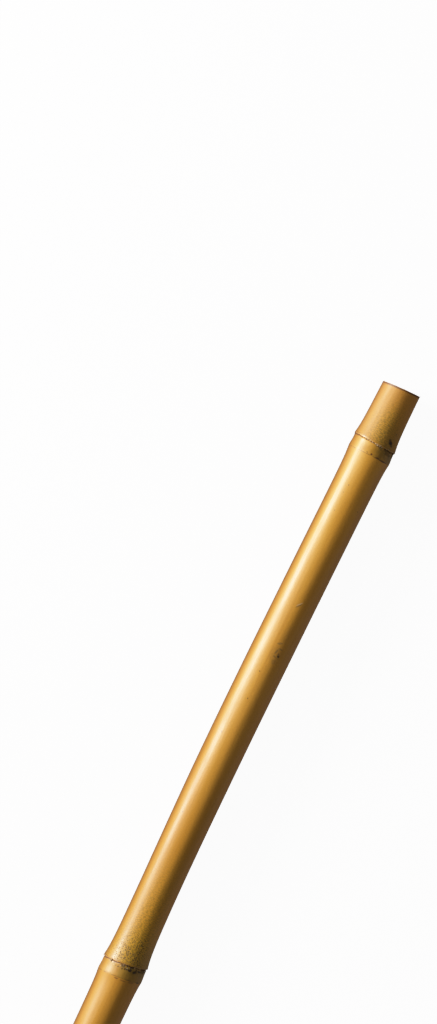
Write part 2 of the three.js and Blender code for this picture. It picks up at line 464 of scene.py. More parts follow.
# %% Short calls for shader nodes
class Finish:
    """One material, the short calls that add nodes to it, and the colour laid so far."""

    def __init__(self, name):
        self.material = bpy.data.materials.new(name)
        self.material.use_nodes = True
        self.tree = self.material.node_tree
        self.shader = self.tree.nodes["Principled BSDF"]
        self.colour = None

    def add(self, kind, feeds=(), **settings):
        node = self.tree.nodes.new(kind)
        for name, value in settings.items():
            setattr(node, name, value)
        for socket, value in dict(feeds).items():
            self.feed(node.inputs[socket], value)
        return node

    def feed(self, socket, value):
        if isinstance(value, bpy.types.NodeSocket):
            self.tree.links.new(value, socket)
        else:
            socket.default_value = value

    def put(self, socket, value):
        """Feed a socket of the shader itself."""
        self.feed(self.shader.inputs[socket], value)

    def uv(self):
        """Along the cane from the butt and around it from the top, in metres."""
        return self.add("ShaderNodeUVMap", uv_map="skin").outputs["UV"]

    def place(self):
        """The point's place in the part's frame, in metres."""
        return self.add("ShaderNodeTexCoord").outputs["Object"]

    def number(self, name):
        """A number that the mesh stores at its points."""
        return self.add("ShaderNodeAttribute", attribute_name=name).outputs["Fac"]

    def scaled(self, vector, scale):
        return self.add("ShaderNodeMapping", {"Vector": vector, "Scale": scale}).outputs["Vector"]

    def split(self, vector):
        return self.add("ShaderNodeSeparateXYZ", {"Vector": vector}).outputs

    def math(self, operation, a, b=0.0, clamp=False):
        return self.add("ShaderNodeMath", {0: a, 1: b}, operation=operation, use_clamp=clamp).outputs[0]

    def times(self, first, *others):
        for other in others:
            first = self.math("MULTIPLY", first, other)
        return first

    def most(self, first, *others):
        for other in others:
            first = self.math("MAXIMUM", first, other)
        return first

    def ease(self, value, start, end, low=0.0, high=1.0):
        """A smooth step from low at start to high at end."""
        feeds = {"Value": value, "From Min": start, "From Max": end, "To Min": low, "To Max": high}
        node = self.add("ShaderNodeMapRange", feeds, interpolation_type="SMOOTHSTEP")
        return node.outputs["Result"]

    def bump_at(self, value, middle, reach):
        """1 at the middle, 0 at the reach on either side."""
        away = self.math("ABSOLUTE", self.math("SUBTRACT", value, middle))
        return self.ease(away, 0.0, reach, 1.0, 0.0)

    def noise(self, vector, scale, detail=2.0, rough=0.5):
        feeds = {"Vector": vector, "Scale": scale, "Detail": detail, "Roughness": rough}
        return self.add("ShaderNodeTexNoise", feeds).outputs["Fac"]

    def cells(self, vector, random_share=1.0):
        """Cells one unit wide: the distance from each cell's middle, and its own random colour."""
        feeds = {"Vector": vector, "Scale": 1.0, "Randomness": random_share}
        return self.add("ShaderNodeTexVoronoi", feeds).outputs

    def mix(self, amount, under, over):
        node = self.add("ShaderNodeMix", data_type="RGBA")
        first, second = [socket for socket in node.inputs if socket.type == "RGBA"]
        for socket, value in ((node.inputs["Factor"], amount), (first, under), (second, over)):
            self.feed(socket, value)
        return next(socket for socket in node.outputs if socket.type == "RGBA")

    def layer(self, colour, *amounts):
        """Lay a colour over what is there already, by the product of amounts from 0 to 1."""
        self.colour = self.mix(self.times(*amounts), self.colour, colour)

    def relief(self, height, depth, under=None):
        """Fine relief of so many metres, on top of another relief."""
        feeds = {"Height": height, "Distance": depth, "Strength": 1.0}
        if under:
            feeds["Normal"] = under
        return self.add("ShaderNodeBump", feeds).outputs["Normal"]


print("calls for a finish:", len([name for name in vars(Finish) if not name.startswith("_")]))

# %% [markdown]
# ## The skin
# The skin of a dry culm is hard, waxy and golden. One finish carries all of it, built up in layers: first
# a ground, then what gathers at each node, and last single marks. Every layer follows the UV map, whose
# two numbers are metres along the cane and around it, or one of the numbers that the mesh stores at its
# points, such as the distance past the nearest scar.

# %% Start the skin's finish
skin = Finish("bamboo skin")
uv = skin.uv()
from_butt, around = skin.split(uv)["X"], skin.split(uv)["Y"]
past_scar, past_ridge = skin.number("past_scar"), skin.number("past_ridge")
mottled, hatched, handled = skin.number("mottled"), skin.number("hatched"), skin.number("handled")
damp, aged, green = skin.number("damp"), skin.number("aged"), skin.number("green")


def skin_noise(along, around, detail, rough=0.5):
    """Noise on the skin that changes so many times in each metre along it and around it."""
    return skin.noise(skin.scaled(uv, (along, around, 1)), 1.0, detail, rough)


def skin_cells(along, around, random_share=1.0):
    """Cells on the skin, so many in each metre along it and around it."""
    return skin.cells(skin.scaled(uv, (along, around, 1)), random_share)


print("the skin's finish starts with", len(skin.tree.nodes), "nodes")

# %% [markdown]
# ## The golden ground
# The ground wanders between gold and straw, and is deeper on a handled end and towards the tip of each
# stretch.
# Painted shade deepens it on both flanks and turns the lower flanks and the underside brown. With an olive
# tint
# where the skin has aged, painted shade also darkens the +Y side of the top. Streaks and fine fibres run
# along it:
# their noise is scaled far more around the cane than along it, which draws it out lengthwise.

# %% The golden ground
GOLD = (0.81, 0.375, 0.04, 1)
STRAW = (0.88, 0.45, 0.07, 1)
DEEP_GOLD = (0.61, 0.25, 0.028, 1)
OCHRE = (0.56, 0.235, 0.024, 1)
OLIVE = (0.24, 0.142, 0.016, 1)
# the brown of painted shade on the lower flanks and the underside
UNDERSIDE_SHADE_BROWN = (0.22, 0.085, 0.012, 1)

slow = skin_noise(7, 55, 3.0)
fibre_lines = skin_noise(14, 1500, 4.0, 0.6)
streaks = skin_noise(9, 330, 3.0, 0.55)
grain = skin_noise(900, 1100, 3.0, 0.6)
# painted shade: deep gold on both flanks, all round from about 37 degrees off the top
painted_flank_shade = skin.ease(skin.math("ABSOLUTE", around), 8 * MM, 13.5 * MM)
# painted shade: brown from the lower -Y flank round the underside to the lower +Y flank
painted_shade_minus_y = skin.ease(around, -10.5 * MM, -18.5 * MM)
painted_shade_plus_y = skin.ease(around, 21 * MM, 30 * MM)
painted_underside_shade = skin.most(painted_shade_minus_y, painted_shade_plus_y)
pale = skin.math("SUBTRACT", skin.ease(slow, 0.3, 0.7), skin.times(aged, 0.5), clamp=True)
aged_and_flank_shade = skin.most(skin.times(painted_flank_shade, 0.8), skin.times(aged, 0.55))
# painted shade, with an olive tint where aged: a band on the +Y side of the top
olive_and_painted_shade_side = skin.times(skin.ease(around, 0.0, 5 * MM), skin.ease(around, 8 * MM, 14 * MM, 1.0, 0.0))

skin.colour = skin.mix(pale, GOLD, STRAW)
# deep gold where the skin has aged, and painted shade on the flanks
skin.layer(DEEP_GOLD, aged_and_flank_shade)
# olive where the skin has aged, and painted shade on the +Y side of the top
skin.layer(OLIVE, aged, olive_and_painted_shade_side, 0.4)
skin.layer(DEEP_GOLD, handled, 0.6)
# painted shade, brown, on the lower flanks and the underside
skin.layer(UNDERSIDE_SHADE_BROWN, painted_underside_shade)
skin.layer(OCHRE, skin.ease(streaks, 0.5, 0.78), 0.4)
skin.layer(OCHRE, skin.ease(fibre_lines, 0.52, 0.8), 0.22)
skin.layer(OLIVE, skin.ease(grain, 0.55, 0.8), 0.14)
print("with the ground:", len(skin.tree.nodes), "nodes")

# %% [markdown]
# ## The butt side of each scar
# Before each scar the skin turns mustard, with fine olive lines across the cane. Nearer to the scar small
# olive and dark brown dots stand close together. The hatching is noise drawn out the other way, and the
# dots are the middles of cells, larger where a slower noise is high.

# %% Hatching and dots
MUSTARD = (0.82, 0.44, 0.03, 1)
DOT_BROWN = (0.09, 0.05, 0.01, 1)

hatching = skin_noise(1950, 600, 1.0, 0.5)
mustard = skin.math("ADD", skin.times(hatched, 0.45), skin.times(mottled, 0.4), clamp=True)
hatch_share = skin.math("ADD", skin.times(hatched, 0.58), 0.08)
before_scar = skin.math("LESS_THAN", past_scar, 0.5)
fine_dots = skin_cells(1400, 1300, 0.6)["Distance"]
dots = skin_cells(960, 900, 0.5)["Distance"]
clusters = skin.ease(skin_noise(150, 200, 3.0), 0.2, 0.5, 0.45, 1.0)
dot_size = skin.times(clusters, mottled, 0.42)
dot_shape = skin.ease(skin.math("SUBTRACT", dots, dot_size), -0.12, 0.06, 1.0, 0.0)
dotted = skin.times(dot_shape, skin.ease(mottled, 0.1, 0.45))

# the mustard is kept off the painted shade of the underside
skin.layer(MUSTARD, mustard, skin.math("SUBTRACT", 1.0, painted_underside_shade))
skin.layer(OLIVE, skin.ease(hatching, 0.465, 0.53), hatch_share)
skin.layer(OLIVE, damp, before_scar, 0.45)
skin.layer(OLIVE, skin.ease(fine_dots, 0.2, 0.45, 1.0, 0.0), skin.ease(mottled, 0.02, 0.4), 0.6)
skin.layer(DOT_BROWN, dotted, 0.85)
print("with hatching and dots:", len(skin.tree.nodes), "nodes")

# %% [markdown]
# ## The band between scar and ridge
# The band was covered by the sheath longest. It is pale and a little green on top, blotched with ochre, and
# olive on the damp side.

# %% The band
PALE_GREEN = (0.6, 0.38, 0.075, 1)

past_edge = skin.math("GREATER_THAN", past_scar, 0.5)
in_band = skin.times(past_edge, skin.math("LESS_THAN", past_ridge, 0.6))
blotches = skin_noise(210, 260, 3.0, 0.6)

skin.layer(PALE_GREEN, in_band, skin.ease(streaks, 0.3, 0.7, 0.4, 1.0), green)
skin.layer(OCHRE, in_band, skin.ease(blotches, 0.45, 0.7), 0.4)
skin.layer(OLIVE, in_band, damp, skin.ease(blotches, 0.3, 0.6, 0.55, 0.85))
print("with the band:", len(skin.tree.nodes), "nodes")

# %% [markdown]
# ## Scar, mould and ridge
# The scar's rim is cream in places, with a dark line in the angle under it and a fainter one before it.
# Mould has settled under the rim on the damp side, and its edge is ragged. A thin red-brown line marks the
# ridge and breaks off here and there.

# %% Scar, mould and ridge
CREAM = (0.86, 0.68, 0.42, 1)
LINE_BROWN = (0.13, 0.045, 0.016, 1)
MOULD = (0.05, 0.028, 0.011, 1)

ragged = skin_noise(300, 420, 3.0, 0.6)
bits = skin_noise(500, 900, 2.0, 0.6)
rim = skin.times(skin.bump_at(past_scar, 0.1, 0.5), skin.ease(bits, 0.53, 0.64))
edge = skin.times(skin.bump_at(past_scar, 0.75, 0.7), skin.ease(ragged, 0.25, 0.5))
seam = skin.times(skin.bump_at(past_scar, -0.55, 0.35), skin.ease(bits, 0.42, 0.6))
mould_reach = skin.times(damp, skin.ease(ragged, 0.34, 0.6), 4.2)
mould_shape = skin.ease(skin.math("SUBTRACT", past_scar, mould_reach), -0.6, 0.6, 1.0, 0.0)
mould = skin.times(in_band, mould_shape)
mould_share = skin.times(skin.ease(damp, 0.2, 0.5), skin.ease(green, 0.1, 0.6, 0.5, 0.85))
ridge_line = skin.times(skin.bump_at(past_ridge, 0.3, 0.45), skin.ease(ragged, 0.42, 0.56))

skin.layer(CREAM, rim, 0.35)
skin.layer(LINE_BROWN, edge, 0.9)
skin.layer(LINE_BROWN, seam, 0.6)
skin.layer(MOULD, mould, mould_share)
skin.layer(LINE_BROWN, ridge_line, 0.55)
print("with scar and ridge:", len(skin.tree.nodes), "nodes")

# %% [markdown]
# ## The trimmed branch and the torn edges
# The branch was cut off past the third node, which leaves a pale face full of fibre ends, with a dark rim
# where the skin has healed over. At both saw cuts the skin's last millimetre is torn and darker.

# %% The trimmed branch and the torn edges
CUT_PALE = (0.66, 0.48, 0.27, 1)
CUT_DARK = (0.2, 0.1, 0.035, 1)

branch = skin.number("branch")
stub_rim = skin.bump_at(branch, 0.82, 0.3)
fibre_ends = skin.ease(skin_cells(1700, 1700)["Distance"], 0.2, 0.4, 1.0, 0.0)
stub_face = skin.mix(skin.times(fibre_ends, 0.6), CUT_PALE, CUT_DARK)
from_end = skin.math("MINIMUM", from_butt, skin.math("SUBTRACT", LENGTH * MM, from_butt))
torn = skin.times(skin.ease(from_end, 0.8 * MM, 1.5 * MM, 1.0, 0.0), skin.ease(bits, 0.3, 0.5, 0.6, 1.0))

skin.layer(LINE_BROWN, stub_rim, 0.85)
skin.layer(stub_face, skin.ease(branch, 0.9, 0.98))
skin.layer(LINE_BROWN, torn, 0.85)
print("with the branch and the edges:", len(skin.tree.nodes), "nodes")

# %% [markdown]
# ## Specks and marks
# A few dark specks are strewn over the skin at random. The marks are this cane's own: a dark spot before
# the first scar, rows of cream and dark flecks along both scars, a scratch, and a smudge halfway along.

# %% Where the marks are
SMUDGE = (0.26, 0.14, 0.05, 1)

# Along and around in mm, length and width in mm, turn in degrees, strength, colour
MARKS = [
    (31.5, 8.6, 2.8, 3.4, 14, 1.0, MOULD),
    (30.2, 7.6, 2.0, 2.4, 0, 0.8, DOT_BROWN),
    (32.8, 9.8, 1.6, 2.2, 0, 0.8, DOT_BROWN),
    (35.8, -6.4, 0.6, 0.7, 0, 0.6, CREAM),
    (35.9, -4.9, 0.6, 0.8, 0, 0.7, CREAM),
    (35.8, -3.2, 0.7, 0.7, 0, 0.8, CREAM),
    (35.9, -1.7, 0.7, 0.9, 0, 0.85, CREAM),
    (36.0, 0.2, 0.8, 0.9, 0, 0.9, CREAM),
    (36.1, 1.6, 1.0, 1.1, 20, 0.95, CREAM),
    (36.0, 3.1, 0.8, 0.9, 0, 0.9, CREAM),
    (36.1, 4.6, 0.7, 0.8, 0, 0.7, CREAM),
    (42.5, -1.8, 0.6, 1.4, 10, 0.7, LINE_BROWN),
    (42.6, 0.8, 1.4, 1.4, 0, 1.0, LINE_BROWN),
    (43.1, 4.8, 1.2, 3.0, 0, 0.8, LINE_BROWN),
    (43.4, 9.0, 1.2, 6.0, 0, 0.85, LINE_BROWN),
    (37.0, 4.3, 2.0, 2.4, 0, 0.5, OLIVE),
    (64.5, -3.0, 0.9, 0.7, 0, 0.75, DOT_BROWN),
    (69.5, -3.9, 0.7, 0.5, 0, 0.6, DOT_BROWN),
    (81.3, -3.9, 0.8, 0.6, 0, 0.65, DOT_BROWN),
    (139.9, 2.4, 5.2, 0.9, 42, 0.4, CREAM),
    (140.9, 2.4, 5.6, 0.9, 42, 0.6, SMUDGE),
    (160.0, 3.4, 16.0, 6.0, 5, 0.14, SMUDGE),
    (172.5, 2.6, 13.0, 9.0, 0, 0.2, SMUDGE),
    (165.6, 2.2, 1.6, 4.2, -25, 0.55, SMUDGE),
    (168.6, 4.2, 1.3, 3.0, 10, 0.5, SMUDGE),
    (170.7, 2.4, 4.2, 1.3, 15, 0.65, SMUDGE),
    (172.4, 4.4, 3.4, 1.3, -10, 0.65, SMUDGE),
    (173.1, 4.7, 1.5, 1.9, 0, 0.8, DOT_BROWN),
    (173.8, 2.6, 1.2, 2.2, 20, 0.6, SMUDGE),
    (177.0, 3.4, 4.0, 3.2, 0, 0.3, SMUDGE),
    (185.2, -1.4, 0.7, 1.5, 60, 0.7, LINE_BROWN),
    (202.6, -0.8, 1.2, 0.7, 0, 0.8, DOT_BROWN),
    (226.7, -6.4, 0.7, 1.7, 70, 0.65, LINE_BROWN),
    (332.3, -0.3, 0.9, 0.7, 0, 0.85, DOT_BROWN),
    (350.9, -3.1, 0.7, 0.7, 0, 0.6, DOT_BROWN),
    (375.1, -6.2, 0.8, 0.9, 0, 0.8, DOT_BROWN),
    (376.5, -3.2, 1.0, 1.1, 0, 0.8, DOT_BROWN),
    (376.3, -4.9, 0.7, 1.5, 20, 0.45, LINE_BROWN),
    (375.7, -7.4, 0.7, 0.8, 0, 0.6, CREAM),
    (376.1, -6.0, 0.7, 0.8, 0, 0.7, CREAM),
    (375.7, -2.2, 0.8, 0.7, 0, 0.7, CREAM),
    (375.8, 1.9, 0.8, 0.8, 0, 0.7, CREAM),
    (376.9, -0.6, 1.1, 1.0, 0, 0.9, MOULD),
    (376.6, 0.8, 1.2, 1.2, 30, 0.9, MOULD),
    (376.6, 3.7, 2.0, 3.0, 12, 1.0, MOULD),
    (377.0, 6.8, 1.9, 2.6, -20, 0.95, MOULD),
    (375.9, 10.0, 1.2, 3.4, 6, 1.0, MOULD),
    (375.3, 14.3, 1.0, 3.0, 0, 0.9, MOULD),
    (383.3, -1.4, 1.0, 3.0, 0, 0.7, LINE_BROWN),
    (383.5, 2.6, 1.2, 4.4, 4, 0.45, LINE_BROWN),
    (383.2, 7.6, 1.6, 4.6, -4, 0.4, LINE_BROWN),
    (382.5, 12.4, 1.2, 2.0, 0, 0.8, DOT_BROWN),
]
print("marks on the skin:", len(MARKS))


# %% Specks and marks
def mark(finish, uv, along_mm, around_mm, length, width, turn):
    """1 inside a small oval mark, 0 outside, with a soft rim."""
    middle = (along_mm * MM, around_mm * MM, 0)
    centred = finish.add("ShaderNodeVectorMath", {0: uv, 1: middle}, operation="SUBTRACT")
    turned = finish.add(
        "ShaderNodeVectorRotate",
        {"Vector": centred.outputs[0], "Angle": math.radians(turn)},
        rotation_type="Z_AXIS",
    )
    scaled = finish.scaled(turned.outputs[0], (2 / (length * MM), 2 / (width * MM), 0))
    away = finish.add("ShaderNodeVectorMath", {0: scaled}, operation="LENGTH").outputs["Value"]
    return finish.ease(away, 0.45, 1.15, 1.0, 0.0)


specks = skin_cells(75, 110)
few = skin.math("GREATER_THAN", skin.split(specks["Color"])["X"], 0.72)
skin.layer(DOT_BROWN, skin.ease(specks["Distance"], 0.02, 0.05, 1.0, 0.0), few, 0.75)
for along_mm, around_mm, length, width, turn, strength, tone in MARKS:
    shape = mark(skin, uv, along_mm, around_mm, length, width, turn)
    skin.layer(tone, shape, strength)
skin.put("Base Color", skin.colour)
print("with the marks:", len(skin.tree.nodes), "nodes")

# %% [markdown]
# ## Gloss and fine relief
# The wax makes the skin glossy, duller where it is worn, handled, dotted or mouldy. Fine relief follows
# the same noises as the colours, so that a fibre catches the light just where it is darker.

# %% Gloss and fine relief
DULLED = ((handled, 0.2), (hatched, 0.03), (dotted, 0.3), (mould, 0.3), (edge, 0.3), (stub_rim, 0.2))

worn = skin_noise(26, 160, 4.0, 0.6)
rough = skin.math("ADD", skin.ease(streaks, 0.3, 0.8, 0.32, 0.4), skin.ease(worn, 0.35, 0.7, 0.0, 0.09))
for where, amount in DULLED:
    rough = skin.math("ADD", rough, skin.times(where, amount))
skin.put("Roughness", rough)
skin.shader.inputs["IOR"].default_value = 1.5
skin.shader.inputs["Specular IOR Level"].default_value = 0.74

normal = skin.relief(worn, 0.12 * MM)
normal = skin.relief(fibre_lines, 0.02 * MM, normal)
normal = skin.relief(grain, 0.015 * MM, normal)
normal = skin.relief(skin.times(hatching, hatched), 0.03 * MM, normal)
skin.put("Normal", skin.relief(dotted, -0.06 * MM, normal))
print("the skin's finish:", len(skin.tree.nodes), "nodes")

# %% [markdown]
# ## The cut wood and the hollow
# A saw cut shows the culm's wall: pale wood full of dark fibre bundles, small and crowded under the
# skin, larger and wider apart towards the hollow. The hollow has a pale, papery lining.


# %% The finish of the cut
def cut_finish():
    f = Finish("cut wood")
    place = f.place()
    depth = f.number("wall_depth")
    crowded = f.cells(f.scaled(place, (0, 2300, 2300)))["Distance"]
    sparse = f.cells(f.scaled(place, (0, 1300, 1300)))["Distance"]
    small_dots = f.times(f.ease(crowded, 0.3, 0.42, 1.0, 0.0), f.ease(depth, 0.25, 0.5, 1.0, 0.0))
    large_dots = f.times(f.ease(sparse, 0.25, 0.34, 1.0, 0.0), f.ease(depth, 0.2, 0.5))
    colour = f.mix(f.ease(depth, 0.0, 0.3), OCHRE, CUT_PALE)
    colour = f.mix(f.times(f.most(small_dots, large_dots), 0.75), colour, CUT_DARK)
    saw_marks = f.noise(f.scaled(place, (0, 300, 4200)), 1.0, 2.0)
    dirt = f.ease(f.noise(place, 240.0, 3.0), 0.5, 0.8)
    f.put("Base Color", f.mix(f.times(dirt, 0.35), colour, CUT_DARK))
    f.shader.inputs["Roughness"].default_value = 0.75
    f.put("Normal", f.relief(saw_marks, 0.1 * MM))
    return f.material


cut_wood = cut_finish()
print("cut wood:", len(cut_wood.node_tree.nodes), "nodes")

# %% The finish of the hollow's lining
LINING = (0.66, 0.52, 0.33, 1)
LINING_DARK = (0.4, 0.27, 0.13, 1)


def lining_finish():
    f = Finish("hollow lining")
    place = f.place()
    fibres = f.noise(f.scaled(place, (25, 900, 900)), 1.0, 3.0)
    stains = f.noise(place, 130.0, 4.0, 0.6)
    colour = f.mix(f.ease(stains, 0.42, 0.75), LINING, LINING_DARK)
    f.put("Base Color", f.mix(f.times(f.ease(fibres, 0.45, 0.75), 0.4), colour, LINING_DARK))
    f.shader.inputs["Roughness"].default_value = 0.8
    f.put("Normal", f.relief(fibres, 0.08 * MM))
    return f.material


lining = lining_finish()
print("hollow lining:", len(lining.node_tree.nodes), "nodes")

# %% [markdown]
# ## The culm
# By hand, a culm like this is drawn as half of its section and spun round its axis. The outline runs
# from the butt's diaphragm out along the hollow, over the cut, along the whole skin, and back into the
# tip's hollow. Rings are close together where a node has its detail and wider apart between nodes.


# %% Where the rings lie
CUT_BEVEL = 0.25


def ring_stations():
    """The x of every ring of the skin, in mm: 0.35 mm apart at the nodes, 1.7 mm between them."""
    fine, coarse, reach = 0.35, 1.7, 9.0
    edges = [CUT_BEVEL]
    for node in NODES:
        edges += [node["scar"] - reach, node["ridge"] + reach]
    edges[-1] += BRANCH["length"]
    edges.append(LENGTH - CUT_BEVEL)
    stations = []
    for i, (start, end) in enumerate(zip(edges, edges[1:])):
        steps = round((end - start) / (fine if i % 2 else coarse))
        stations += list(np.linspace(start, end, steps, endpoint=False))
    return np.array(stations + [LENGTH - CUT_BEVEL])


print("rings of the skin:", len(ring_stations()))

# %% The half section
BUTT_HOLLOW = [(34.6, 0), (34.0, 3.2), (32.2, 5.4), (28.6, 6.7), (20, 7.0), (0, 7.15)]
TIP_HOLLOW = [
    (731.4, 0), (732.2, 3.4), (734.2, 5.9), (738, 7.2), (748, 7.6), (790, 7.7), (845, 7.8), (900, 7.9),
]


def wall_stations(points, step):
    """A hollow's outline with points added so that none is further than a step from the next."""
    filled = []
    for (x0, r0), (x1, r1) in zip(points, points[1:]):
        count = max(round(math.hypot(x1 - x0, r1 - r0) / step), 1)
        filled += [(x0 + (x1 - x0) * i / count, r0 + (r1 - r0) * i / count) for i in range(count)]
    return filled + [points[-1]]


def half_section():
    """(x, radius) points in mm from the butt's diaphragm to the tip's, by way of the skin."""
    wall_step, cut_step = 3.0, 0.8
    skin_x = ring_stations()
    cut_radius = [float(skin_radius(x)) - CUT_BEVEL for x in (0, LENGTH)]
    butt = wall_stations(BUTT_HOLLOW, wall_step)
    tip = wall_stations(TIP_HOLLOW, wall_step)
    butt_cut = wall_stations([butt[-1], (0, cut_radius[0])], cut_step)[1:]
    tip_cut = wall_stations([(LENGTH, cut_radius[1]), tip[-1]], cut_step)[:-1]
    return butt + butt_cut + list(zip(skin_x, skin_radius(skin_x))) + tip_cut + tip[::-1]


print("points of the half section:", len(half_section()))

# %% Spin it
SIDES = 96


def spun_culm():
    """The half section as an edge chain in the XZ plane, spun all the way round the X axis."""
    section = half_section()
    mesh = bpy.data.meshes.new("cane_fine")
    points = [(x * MM, 0, -radius * MM) for x, radius in section]
    mesh.from_pydata(points, [(i, i + 1) for i in range(len(points) - 1)], [])
    culm = bpy.data.objects.new("cane_fine", mesh)
    bpy.context.scene.collection.objects.link(culm)
    select_only(culm)
    bpy.ops.object.mode_set(mode="EDIT")
    bpy.ops.mesh.select_all(action="SELECT")
    bpy.ops.mesh.spin(steps=SIDES, angle=2 * math.pi, center=(0, 0, 0), axis=(1, 0, 0))
    bpy.ops.mesh.select_all(action="SELECT")
    bpy.ops.mesh.remove_doubles(threshold=0.002 * MM)
    bpy.ops.mesh.normals_make_consistent(inside=False)
    bpy.ops.object.mode_set(mode="OBJECT")
    return culm


culm = spun_culm()
print("culm:", len(culm.data.vertices), "points,", len(culm.data.polygons), "faces")

# %% [markdown]
# ## The culm's fine form
# The straight spun bar now gets what makes it look grown: it bends along its course, its rings lean,
# it is not quite round, the flange of each sheath scar has a ragged edge, and faint ribs run along the
# skin. The points are moved by the laws above, so that the mesh keeps to the CAD model's measures.

# %% Bend the bar and raise its relief
RIB_HEIGHT = 0.03
SWELL_HEIGHT = 0.05
RAGGED_EDGE = 0.32


def relief_noise(points, scale_along, scale_across):
    """Noise between -1 and 1 at points on the bar (x, y, z in mm), stretched along it."""
    scaled = points * np.array([1 / scale_along, 1 / scale_across, 1 / scale_across])
    return np.array([noise.noise(Vector(p)) for p in scaled])


def shape_culm(culm):
    count = len(culm.data.vertices)
    bar = np.empty(count * 3)
    culm.data.vertices.foreach_get("co", bar)
    bar = bar.reshape(-1, 3) / MM
    x = bar[:, 0]
    radius = np.hypot(bar[:, 1], bar[:, 2])
    angle = np.arctan2(bar[:, 2], bar[:, 1])
    outer = skin_radius(x)
    on_skin_share = np.where(radius > outer - 2 * CUT_BEVEL, 1.0, 0.0)
    ribs = RIB_HEIGHT * relief_noise(bar, 60, 1.3) + SWELL_HEIGHT * relief_noise(bar, 45, 9)
    grown = radius * (1 + out_of_round(x, angle)) + on_skin_share * (branch_height(x, angle) + ribs)
    shift = np.zeros(count)
    for node in NODES:
        near_scar = np.exp(-(((x - node["scar"] - SCAR_WIDTH / 2) / 2.2) ** 2))
        shift += near_scar * RAGGED_EDGE * (relief_noise(bar, 400, 3.5) + 0.6 * relief_noise(bar, 400, 1.1))
    across = grown * np.cos(angle)
    lean = lean_at(x) * across / SKIN_RADIUS
    z = np.maximum(height_at(x) + grown * np.sin(angle), 0)
    placed = in_frame(x + lean + shift * on_skin_share, course_at(x) + across, z)
    culm.data.vertices.foreach_set("co", placed.ravel())
    culm.data.update()
    return bar, radius, outer


bar, bar_radius, outer_radius = shape_culm(culm)
print("culm's highest point in mm:", round(max(v.co.z for v in culm.data.vertices) / MM, 2))

# %% [markdown]
# ## Numbers for the finish
# The finish has to know how far a point lies past the nearest scar and ridge, how deep it is in the wall,
# and how high it is on the branch scar. The mesh stores such numbers at its points, as attributes.

# %% Distances and depths
WALL = 5  # thickness in mm, near enough for the finish


def store_number(mesh, name, values):
    attribute = mesh.attributes.new(name, "FLOAT", "POINT")
    attribute.data.foreach_set("value", np.asarray(values, np.float32))


def nearest(x, key):
    """Distance past the nearest node's scar or ridge, in mm."""
    away = np.stack([x - node[key] for node in NODES])
    return np.take_along_axis(away, np.abs(away).argmin(axis=0)[None], axis=0)[0]


angle = np.arctan2(bar[:, 2], bar[:, 1])
store_number(culm.data, "past_scar", nearest(bar[:, 0], "scar"))
store_number(culm.data, "past_ridge", nearest(bar[:, 0], "ridge"))
store_number(culm.data, "wall_depth", (outer_radius - bar_radius) / WALL)
store_number(culm.data, "branch", branch_height(bar[:, 0], angle) / BRANCH["trim"])
print("deepest below the skin, in mm:", round(float((outer_radius - bar_radius).max()), 1))

# %% [markdown]
# ## How the skin has aged
# The butt side of each scar is hatched and mottled, most of all on top, and each node was damp on one
# side. Each stretch between nodes ages towards its tip side. The short butt end and the last centimetres
# at the tip are dull from handling. These numbers run from 0 to 1 and are stored in the same way.

# %% Ageing of the skin
# How mottled, hatched and green each node's skin is, how far the hatching reaches, in mm and in radians,
# and at which angle from the top the node is damp and mouldy
NODE_SKINS = [
    {"mottled": 0.35, "hatched": 1.0, "reach": 34, "spread": 0.55, "green": 0.1, "damp_side": 0.95},
    {"mottled": 1.3, "hatched": 0.9, "reach": 85, "spread": 0.8, "green": 0.7, "damp_side": 0.75},
    {"mottled": 0.9, "hatched": 0.8, "reach": 60, "spread": 0.8, "green": 0.4, "damp_side": -0.4},
]
# How aged each stretch between nodes is at its butt side, from 0 to 1; it ages to 1 at its tip side
START_AGES = [0.0, 0.0, 0.65, 0.3]


def step(value, start, end):
    """A smooth step from 0 at start to 1 at end, either way round."""
    return smooth(np.clip((value - start) / (end - start), 0, 1))


def skin_ages(bar):
    """How mottled, hatched, damp, green, aged and handled the skin is at each point, from 0 to 1."""
    x, phi = bar[:, 0], np.arctan2(bar[:, 1], bar[:, 2])
    mottled, hatched, damp, green = (np.zeros(len(bar)) for _ in range(4))
    starts = [0] + [node["scar"] for node in NODES]
    patchy = 0.75 + 0.5 * relief_noise(bar, 9, 5)
    upper = np.exp(-(((phi - 0.1) / 0.8) ** 2))
    lower = 0.5 * np.exp(-(((np.abs(phi) - 2.6) / 0.6) ** 2))
    sunny = 0.3 + 0.7 * upper + lower
    for node, its, start in zip(NODES, NODE_SKINS, starts):
        before = node["scar"] - x
        here = step(before, -0.3, 1.2) * (x > start)
        mottled += its["mottled"] * here * step(before, 30, 7) * patchy * sunny
        hatch_side = 0.12 + 0.88 * np.exp(-(((phi - 0.12) / its["spread"]) ** 2)) + lower
        hatched += its["hatched"] * here * step(before, its["reach"], 9) * hatch_side
        near_band = np.exp(-(((x - node["scar"]) / 14) ** 2))
        damp += near_band * step(np.cos(phi - its["damp_side"]), 0.35, 0.95)
        green += near_band * its["green"] * (0.25 + 0.75 * np.exp(-(((phi - 0.05) / 0.6) ** 2)))
    share = (x[:, None] - np.array(starts)) / np.diff(starts + [LENGTH])
    ages = np.array(START_AGES) + (1 - np.array(START_AGES)) * share
    aged = np.where((share >= 0) & (share <= 1), ages, 0).max(axis=1)
    handled = step(x, 36, 33) + step(x, LENGTH - 60, LENGTH - 20)
    numbers = {"mottled": mottled, "hatched": hatched, "damp": damp}
    numbers |= {"green": green, "aged": aged, "handled": handled}
    for name, values in numbers.items():
        store_number(culm.data, name, np.clip(values, 0, 1))
    return list(numbers)


print("stored:", skin_ages(bar))

# %% [markdown]
# ## The UV map
# Each corner of a face keeps its place on the straight bar: metres along it, and metres around it from the
# top. A face across the bottom would jump from one end of that range to the other, so its corners are
# kept on the side of its first one.


